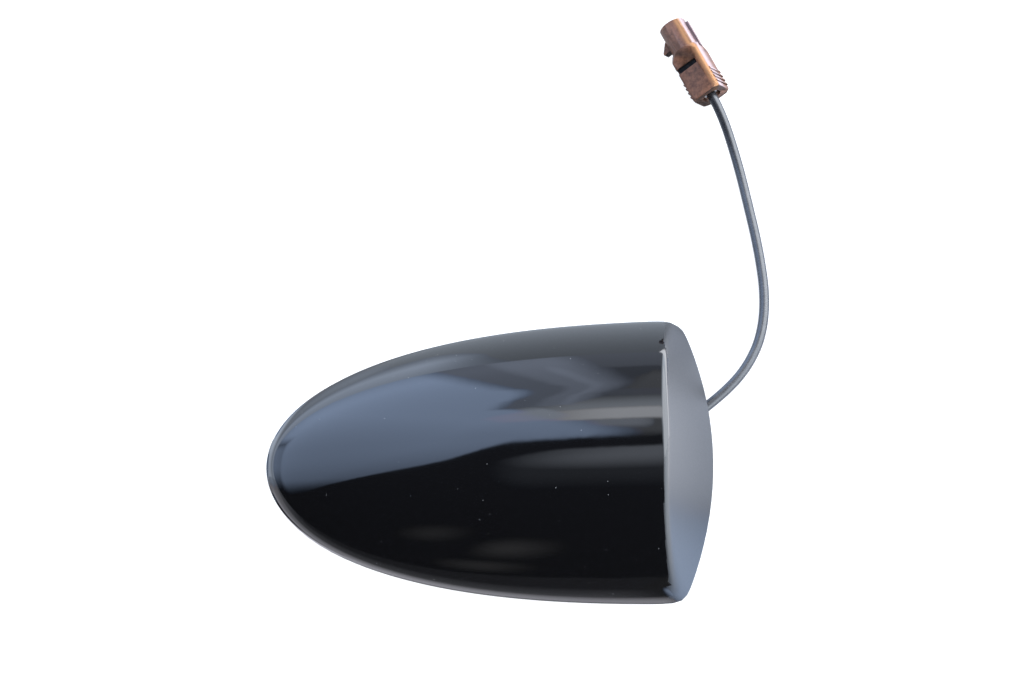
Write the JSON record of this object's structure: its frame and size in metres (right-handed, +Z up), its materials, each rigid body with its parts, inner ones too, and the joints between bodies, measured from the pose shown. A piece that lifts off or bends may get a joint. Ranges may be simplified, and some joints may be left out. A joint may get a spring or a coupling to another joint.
{
  "type": "gps antenna",
  "caption": "Roof antenna for satellite positioning: bullet-shaped gloss cover with a cut-off rear face on a cast base with a bolt boss, and a coax lead ending in a coded plug.",
  "frame": {"origin": "centre of the tapped roof bolt hole in the end face of the boss, which is also the plane the part rests on when it lies on a table; the roof line is 12 mm above it", "axes": "+Z up out of the roof along the bolt axis; -X to the nose of the cover, +X to its cut-off rear face; +Y to the side on which the cable leaves and the plug lies"},
  "size_m": [0.1467, 0.1853, 0.0428],
  "materials": {
    "gloss_black_plastic": "polished moulding",
    "die_cast_metal": "fine cast",
    "black_rubber": "matt",
    "board_green": "solder resist",
    "patch_ceramic": "matt opaque ceramic",
    "foam_tape": "matt foam",
    "gold_plate": "bright plated",
    "tin_plate": "satin tin plate",
    "component_black": "matt",
    "screw_steel": "zinc plated",
    "cable_jacket": "smooth jacket",
    "brown_plastic": "satin moulding",
    "lock_black": "satin moulding",
    "insulator_white": "waxy"
  },
  "bodies": {
    "root": {"radome": "gloss_black_plastic", "base_plate": "die_cast_metal", "roof_boss": "die_cast_metal", "roof_seal": "black_rubber", "inner_seal": "black_rubber", "circuit_board": "board_green", "ceramic_patch": "patch_ceramic", "patch_tape": "foam_tape", "feed_pin": "gold_plate", "shield_can": "tin_plate", "board_components": "component_black", "cable_clip": "tin_plate", "board_screws": "screw_steel", "radome_screws": "screw_steel", "coax_tail": "cable_jacket", "cable_grommet": "black_rubber", "coax_lead": "cable_jacket", "plug_housing": "brown_plastic", "plug_lock": "lock_black", "plug_outer_contact": "tin_plate", "plug_insulator": "insulator_white", "plug_centre_pin": "gold_plate", "plug_crimp_ferrule": "tin_plate"}
  },
  "joints": []
}
